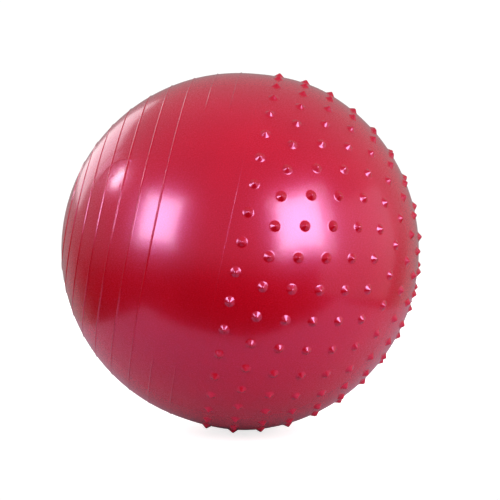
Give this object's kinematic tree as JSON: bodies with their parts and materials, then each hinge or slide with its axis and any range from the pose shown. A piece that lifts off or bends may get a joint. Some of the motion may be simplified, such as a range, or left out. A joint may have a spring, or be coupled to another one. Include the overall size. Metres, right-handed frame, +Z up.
{
  "type": "inflatable exercise ball",
  "caption": "Inflatable exercise ball with a nubbed half and a ribbed half, and a pull-out plug in its air valve.",
  "frame": {"origin": "centre of the ball", "axes": "+Z up, as the ball rests on a floor; the ball's axis lies in the XZ plane, its nubbed pole towards +X and 11.6 degrees below the horizontal, its ribbed pole with the air valve towards -X; -Y is the front with the smooth area between the ribs"},
  "size_m": [0.6548, 0.6596, 0.6549],
  "materials": {
    "ball_skin": "glossy pearlescent red soft vinyl",
    "valve_seat": "satin dark red soft vinyl",
    "valve_plug": "satin off-white polyethylene"
  },
  "bodies": {
    "ball": {"ball_skin": "ball_skin", "valve_seat": "valve_seat"},
    "plug": {"valve_plug": "valve_plug"}
  },
  "joints": [
    {"name": "plug_pull", "type": "slide", "parent": "ball", "child": "plug", "axis": [-0.9796, 0, 0.2011], "range_m": [0, 0.03]}
  ]
}
